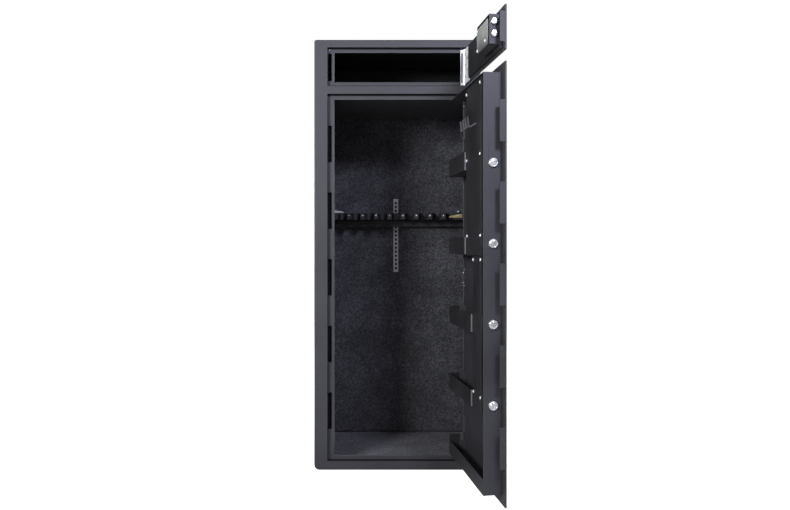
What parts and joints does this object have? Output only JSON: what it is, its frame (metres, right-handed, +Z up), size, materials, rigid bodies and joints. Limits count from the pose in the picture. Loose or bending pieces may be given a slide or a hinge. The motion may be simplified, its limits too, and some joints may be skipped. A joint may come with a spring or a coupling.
{
  "type": "gun safe",
  "caption": "Tall steel gun safe with a main compartment and a smaller one above it, each with its own hinged door with round locking bolts, carpet lining and a notched barrel rack.",
  "frame": {"origin": "on the floor under the middle of the body, half way across and half way back, leaving out the open doors", "axes": "+X to the right of someone facing the doors, +Y from the doors to the back, +Z up"},
  "size_m": [0.6184, 0.9167, 1.5],
  "materials": {
    "charcoal_paint": "fine textured charcoal powder coat, slightly violet grey",
    "inner_paint": "dark grey semi-matt powder coat",
    "black_paint": "matt black powder coat",
    "zinc_plate": "bright zinc plated steel",
    "chrome_plate": "bright nickel and chrome plate",
    "carpet": "short speckled needle-punch carpet, dark blue-grey",
    "fibre_board": "raw hardboard",
    "rack_plastic": "black moulded plastic, fine matt grain"
  },
  "bodies": {
    "safe_body": {"body_wrap": "charcoal_paint", "back_panel": "charcoal_paint", "front_frame": "charcoal_paint", "main_stop_frame": "charcoal_paint", "upper_stop_frame": "charcoal_paint", "divider_shelf": "charcoal_paint", "floor_board": "fibre_board", "back_carpet": "carpet", "left_carpet": "carpet", "right_carpet": "carpet", "floor_carpet": "carpet", "ceiling_board": "carpet", "rack_standard": "zinc_plate", "barrel_rack": "rack_plastic", "rack_rail": "black_paint", "main_hinge_top_body_leaf": "zinc_plate", "main_hinge_middle_body_leaf": "zinc_plate", "main_hinge_bottom_body_leaf": "zinc_plate", "upper_hinge_body_leaf": "zinc_plate", "main_hinge_top_pin": "chrome_plate", "main_hinge_middle_pin": "chrome_plate", "main_hinge_bottom_pin": "chrome_plate", "upper_hinge_pin": "chrome_plate"},
    "main_door": {"main_door_plate": "charcoal_paint", "door_pan": "charcoal_paint", "boltwork_cover_upper": "inner_paint", "boltwork_cover_lower": "inner_paint", "door_tray_1": "inner_paint", "door_tray_2": "inner_paint", "door_tray_3": "inner_paint", "door_tray_4": "inner_paint", "door_tray_5": "inner_paint", "bar_guide": "zinc_plate", "handle_escutcheon": "chrome_plate", "main_key_rosette": "chrome_plate", "main_lock_case": "zinc_plate", "main_hinge_top_door_leaf": "zinc_plate", "main_hinge_middle_door_leaf": "zinc_plate", "main_hinge_bottom_door_leaf": "zinc_plate"},
    "main_bolts": {"bolt_bar": "zinc_plate", "locking_bolt_1": "chrome_plate", "locking_bolt_2": "chrome_plate", "locking_bolt_3": "chrome_plate", "locking_bolt_4": "chrome_plate"},
    "main_handle": {"handle_lever": "chrome_plate", "handle_spindle": "zinc_plate", "drive_pinion": "zinc_plate"},
    "main_key": {"main_key_plug": "chrome_plate"},
    "upper_door": {"upper_door_plate": "charcoal_paint", "upper_door_panel": "inner_paint", "upper_lock_case": "charcoal_paint", "upper_lock_cover": "zinc_plate", "upper_key_rosette": "chrome_plate", "upper_hinge_door_leaf": "zinc_plate"},
    "upper_bolts": {"upper_bolt_1": "chrome_plate", "upper_bolt_2": "chrome_plate", "upper_bolt_carrier": "zinc_plate"},
    "upper_key": {"upper_key_plug": "chrome_plate", "upper_pinion": "zinc_plate"}
  },
  "joints": [
    {"name": "main_door_swing", "type": "hinge", "parent": "safe_body", "child": "main_door", "pos_m": [0.2345, -0.2185, 0.671], "axis": [0, 0, 1], "range_deg": [-98.3, 7.7]},
    {"name": "main_bolt_slide", "type": "slide", "parent": "main_door", "child": "main_bolts", "axis": [0.1444, -0.9895, 0], "range_m": [0, 0.02]},
    {"name": "main_handle_turn", "type": "hinge", "parent": "main_door", "child": "main_handle", "pos_m": [0.28713, -0.53421, 0.9], "axis": [0.9895, 0.1444, 0], "range_deg": [0, 82]},
    {"name": "main_key_turn", "type": "hinge", "parent": "main_door", "child": "main_key", "pos_m": [0.28713, -0.53421, 1.03], "axis": [0.9895, 0.1444, 0], "range_deg": [0, 90]},
    {"name": "upper_door_swing", "type": "hinge", "parent": "safe_body", "child": "upper_door", "pos_m": [0.2345, -0.2185, 1.4065], "axis": [0, 0, 1], "range_deg": [-98.3, 7.7]},
    {"name": "upper_bolt_slide", "type": "slide", "parent": "upper_door", "child": "upper_bolts", "axis": [0.1444, -0.9895, 0], "range_m": [0, 0.018]},
    {"name": "upper_key_turn", "type": "hinge", "parent": "upper_door", "child": "upper_key", "pos_m": [0.29073, -0.55895, 1.3925], "axis": [0.9895, 0.1444, 0], "range_deg": [0, 83]}
  ],
  "couplings": [
    {"joint": "main_handle_turn", "follows": "main_bolt_slide", "rad_per_m": 71.429},
    {"joint": "upper_key_turn", "follows": "upper_bolt_slide", "rad_per_m": 80}
  ]
}
